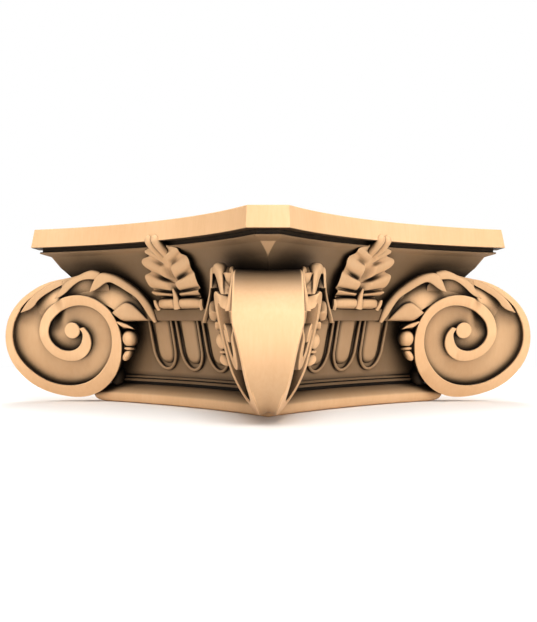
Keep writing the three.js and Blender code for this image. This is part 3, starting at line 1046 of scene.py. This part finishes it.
def leaf_blades():
    """The two thin folds that stand up beside the leaf's foot."""

    def radius(share):
        return mix(*BLADE_RADII, share ** BLADE_CURVE)

    blades = []
    for side in (-1, 1):
        path = [(side * m, reach, z) for m, reach, z in BLADE_PATH]
        blades.append(round_bar(path, BLADE_STEPS, radius, BLADE_AROUND))
    return blades


FINGER_PATH = ((3.6, 126.5, 138.6), (4.4, 133.6, 142.4), (4.7, 140.8, 147.2), (4.6, 145.8, 152.4))
FINGER_TIP = (4.5, 146.6, 156.8)
FINGER_RADII = (5.4, 4.8)
FINGER_THINS = 1.6
FINGER_STEPS = 20
FINGER_AROUND = 16
# The right finger leans out a little further than the left one
FURTHER_OUT = 0.5
# The end of a finger is rounded from this share of its length on, over this run
FINGER_END = (0.84, 0.162)
LEAST_END = 0.01


def finger_radius(share):
    start, run = FINGER_END
    round_end = math.sqrt(max(1 - max(0.0, (share - start) / run) ** 2, LEAST_END))
    return mix(*FINGER_RADII, smooth_step(share * FINGER_THINS)) * round_end


def leaf_fingers():
    """The two fingers of the leaf's top, which lean out over the face of the abacus."""
    fingers = []
    for side, further in ((-1, 0.0), (1, FURTHER_OUT)):
        m, reach, z = FINGER_TIP
        path = [*FINGER_PATH, (m, reach + further, z)]
        path = [(side * m, reach, z) for m, reach, z in path]
        fingers.append(round_bar(path, FINGER_STEPS, finger_radius, FINGER_AROUND))
    return fingers


def sides():
    leaf = joined([side_leaf(), leaf_stem()] + leaf_blades() + leaf_fingers())
    return round_the_axis(joined(tongues() + [with_painted_shade(leaf, SIDE_LEAF_PAINTED_SHADE)]), 0)


# Materials

def colour(code):
    """A linear colour from an sRGB hex code."""
    parts = [int(code[i:i + 2], 16) / 255 for i in (1, 3, 5)]
    linear = [c / 12.92 if c <= 0.04045 else ((c + 0.055) / 1.055) ** 2.4 for c in parts]
    return (*linear, 1)


def node(tree, kind, links=(), **settings):
    """A shader node with its settings, and (socket, value or output) pairs on its inputs."""
    made = tree.nodes.new(kind)
    for name, value in settings.items():
        setattr(made, name, value)
    for socket, value in links:
        if isinstance(value, bpy.types.NodeSocket):
            tree.links.new(value, made.inputs[socket])
        else:
            made.inputs[socket].default_value = value
    return made


# The fibres of limewood are about 0.3 mm wide, too fine to show, and are drawn eight times as
# coarse; the slow change of tone is as wide as in a real plank. Both are stretched upwards.
FIBRE = 2.38 * MM
FIGURE = 45.5 * MM
UPRIGHT = 0.12
# (place in the pattern, colour)
WOOD_TONES = ((0.3, "#DFB284"), (0.72, "#E9BE91"))
FIBRE_TONES = ((0.35, "#F4EADC"), (0.65, "#FFFFFF"))
FIBRE_SHARE = 0.3
FIBRE_RELIEF = 0.4 * MM
RELIEF_STRENGTH = 0.12
# Painted shade in the hollows, from how open each point is to the rest of the piece, looked at wide
# and narrow: (metres looked at, openness that is darkest, openness that is left unshaded, how light
# the darkest stays)
WIDE_HOLLOW_SHADE = (0.3, 0.2, 0.8, 0.05)
NARROW_HOLLOW_SHADE = (0.03, 0.25, 0.72, 0.06)
# How light the wood stays under light and under deep painted shade
LIGHT_PAINTED_SHADE = 0.3
DEEP_PAINTED_SHADE = 0.05
SATIN = (0.5, 0.62)
LOW_GLOSS = 0.15


def carved_wood():
    """Close-grained limewood, carved and finely sanded, with painted shade in its colour.

    The eye sees a warm, even tan with a faint upright grain and hardly any gloss. The colour is
    painted darker where shade falls: in the hollows, nearly black at their deepest, under the abacus
    and in the bays, while the open faces stay light.
    """
    material = bpy.data.materials.new("carved_wood")
    material.use_nodes = True
    tree = material.node_tree
    shader = tree.nodes["Principled BSDF"]
    place = node(tree, "ShaderNodeTexCoord").outputs["Object"]
    upright = node(tree, "ShaderNodeMapping", [("Vector", place), ("Scale", (1, 1, UPRIGHT))])
    fibres = node(tree, "ShaderNodeTexNoise", [
        ("Vector", upright.outputs[0]), ("Scale", 1 / FIBRE), ("Detail", 5.0), ("Roughness", 0.6)])
    figure = node(tree, "ShaderNodeTexNoise", [
        ("Vector", upright.outputs[0]), ("Scale", 1 / FIGURE), ("Detail", 3.0)])
    tones = []
    for pattern, stops in ((figure, WOOD_TONES), (fibres, FIBRE_TONES)):
        toned = node(tree, "ShaderNodeValToRGB", [("Fac", pattern.outputs["Fac"])])
        for element, (position, code) in zip(toned.color_ramp.elements, stops):
            element.position = position
            element.color = colour(code)
        tones.append(toned.outputs["Color"])
    wood = node(tree, "ShaderNodeMix", [(0, FIBRE_SHARE), (6, tones[0]), (7, tones[1])],
                data_type="RGBA", blend_type="MULTIPLY")
    # Painted shade from how open each point is to the rest of the piece
    unshaded_share = []
    for distance, dark, fully_open, least in (WIDE_HOLLOW_SHADE, NARROW_HOLLOW_SHADE):
        air = node(tree, "ShaderNodeAmbientOcclusion", [("Distance", distance)],
                   samples=16, only_local=True)
        lightness = node(tree, "ShaderNodeMapRange", [
            ("Value", air.outputs["AO"]), ("From Min", dark), ("From Max", fully_open),
            ("To Min", least), ("To Max", 1.0)], interpolation_type="SMOOTHSTEP")
        unshaded_share.append(lightness.outputs[0])
    # The painted shade marked on the mesh: up to 1 it trades the wide hollows' darkening for a fixed
    # one, and from 1 to 2 it darkens further
    painted_shade = node(tree, "ShaderNodeAttribute", attribute_name="painted_shade").outputs["Fac"]
    thin = node(tree, "ShaderNodeMix", [(0, painted_shade), (2, unshaded_share[0]), (3, LIGHT_PAINTED_SHADE)])
    deep_shade = node(tree, "ShaderNodeMapRange", [
        ("Value", painted_shade), ("From Min", 1.0), ("From Max", 2.0),
        ("To Min", 1.0), ("To Max", DEEP_PAINTED_SHADE)])
    shade = unshaded_share[1]
    for shade_step in (thin, deep_shade):
        darker = node(tree, "ShaderNodeMath", [(0, shade), (1, shade_step.outputs[0])],
                      operation="MULTIPLY")
        shade = darker.outputs[0]
    # The wood's colour times the painted shade
    shaded_wood = node(tree, "ShaderNodeMix", [(0, 1.0), (6, wood.outputs[2]), (7, shade)],
                  data_type="RGBA", blend_type="MULTIPLY")
    tree.links.new(shaded_wood.outputs[2], shader.inputs["Base Color"])
    low, high = SATIN
    satin = node(tree, "ShaderNodeMapRange", [
        ("Value", fibres.outputs["Fac"]), ("To Min", low), ("To Max", high)])
    tree.links.new(satin.outputs[0], shader.inputs["Roughness"])
    shader.inputs["Specular IOR Level"].default_value = LOW_GLOSS
    relief = node(tree, "ShaderNodeBump", [
        ("Strength", RELIEF_STRENGTH), ("Distance", FIBRE_RELIEF), ("Height", fibres.outputs["Fac"])])
    tree.links.new(relief.outputs[0], shader.inputs["Normal"])
    return material


# Pieces

# Edges that turn more sharply than this many degrees are kept crisp
SHARP_EDGE = 32


def finished(name, bm, material):
    """A mesh as an object in metres, smooth but for its edges."""
    bmesh.ops.scale(bm, verts=bm.verts, vec=(MM, MM, MM))
    mesh = bpy.data.meshes.new(name)
    bm.to_mesh(mesh)
    bm.free()
    mesh.shade_smooth()
    mesh.set_sharp_from_angle(angle=math.radians(SHARP_EDGE))
    piece = bpy.data.objects.new(name, mesh)
    bpy.context.collection.objects.link(piece)
    mesh.materials.append(material)
    return piece


capital = finished("carved_capital", joined([body(), scrolls(), sides()]), carved_wood())
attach(capital, "root")
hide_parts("capital")


# The studio: a pale floor, soft light and the photograph's camera

FLOOR_RADIUS = 0.75
FLOOR_SIDES = 96
FLOOR_GAP = 0.0002
MATT = 0.9
# The sky is white to the camera and this bright as a light
DIM_SKY = 0.16


def pale_floor():
    """Matt white card, which is seen as a plain pale ground with a soft shadow."""
    material = bpy.data.materials.new("pale_floor")
    material.use_nodes = True
    shader = material.node_tree.nodes["Principled BSDF"]
    shader.inputs["Base Color"].default_value = colour("#EDEBE8")
    shader.inputs["Roughness"].default_value = MATT
    return material


def studio_floor():
    bm = bmesh.new()
    bmesh.ops.create_circle(bm, cap_ends=True, segments=FLOOR_SIDES, radius=FLOOR_RADIUS)
    mesh = bpy.data.meshes.new("floor")
    bm.to_mesh(mesh)
    bm.free()
    mesh.materials.append(pale_floor())
    floor = bpy.data.objects.new("floor", mesh)
    floor.location.z = -FLOOR_GAP
    bpy.context.collection.objects.link(floor)


def studio_sky():
    world = bpy.data.worlds.new("studio")
    world.use_nodes = True
    tree = world.node_tree
    background = tree.nodes["Background"]
    background.inputs["Color"].default_value = colour("#FFFFFF")
    seen = node(tree, "ShaderNodeLightPath").outputs["Is Camera Ray"]
    strength = node(tree, "ShaderNodeMapRange", [
        ("Value", seen), ("To Min", DIM_SKY), ("To Max", 1.0)])
    tree.links.new(strength.outputs[0], background.inputs["Strength"])
    bpy.context.scene.world = world


def beside_camera(turn, distance, height):
    """A place this many degrees to the right of the camera, seen from the capital."""
    angle = math.radians(turn - 45)
    return (distance * math.cos(angle), distance * math.sin(angle), height)


CAPITAL_MIDDLE = (0, 0, 0.09)
BEHIND_CAPITAL = (-0.3, 0.3, 0)
# (name, place, what it is aimed at, width in metres, watts) of each square softbox
SOFTBOXES = (
    ("key_softbox", beside_camera(5, 1.25, 1.5), CAPITAL_MIDDLE, 0.9, 27),
    ("front_softbox", beside_camera(4, 1.9, 0.3), CAPITAL_MIDDLE, 0.7, 8),
    ("left_softbox", beside_camera(-62, 1.5, 0.6), CAPITAL_MIDDLE, 0.8, 5),
    ("right_softbox", beside_camera(62, 1.5, 0.6), CAPITAL_MIDDLE, 0.8, 6.5),
    ("overhead_softbox", (-0.3, 0.3, 2.2), (0, 0, 0), 3.0, 36),
    ("back_softbox", beside_camera(180, 0.95, 1.3), BEHIND_CAPITAL, 1.2, 22),
)


def softbox(name, place, aim, width, power):
    light = bpy.data.lights.new(name, "AREA")
    light.shape = "SQUARE"
    light.size = width
    light.energy = power
    lamp = bpy.data.objects.new(name, light)
    lamp.location = place
    lamp.rotation_euler = (Vector(aim) - Vector(place)).to_track_quat("-Z", "Y").to_euler()
    bpy.context.collection.objects.link(lamp)


# One pixel of the photograph is a millimetre at the capital's axis, so the camera is as many
# millimetres away as its lens is pixels long
CAMERA_DISTANCE = 0.981
LENS_PIXELS = 981
FRAME_WIDE, FRAME_HIGH = 537, 622
HORIZON_ROW = 318.3
AXIS_COLUMN = 268.0
SENSOR = 36


def camera():
    """Level, looking at one corner, as far away as the photograph's perspective says."""
    data = bpy.data.cameras.new("camera")
    data.sensor_width = SENSOR
    data.lens = LENS_PIXELS / FRAME_HIGH * SENSOR
    data.shift_x = (FRAME_WIDE / 2 - AXIS_COLUMN) / FRAME_HIGH
    data.shift_y = (HORIZON_ROW - FRAME_HIGH / 2) / FRAME_HIGH
    made = bpy.data.objects.new("camera", data)
    made.location = (CAMERA_DISTANCE * ROOT_HALF, -CAMERA_DISTANCE * ROOT_HALF, CAMERA_LEVEL * MM)
    made.rotation_euler = (QUARTER, 0, QUARTER / 2)
    bpy.context.collection.objects.link(made)
    bpy.context.scene.camera = made


studio_floor()
studio_sky()
for box in SOFTBOXES:
    softbox(*box)
camera()
bpy.context.scene.view_settings.view_transform = "Standard"
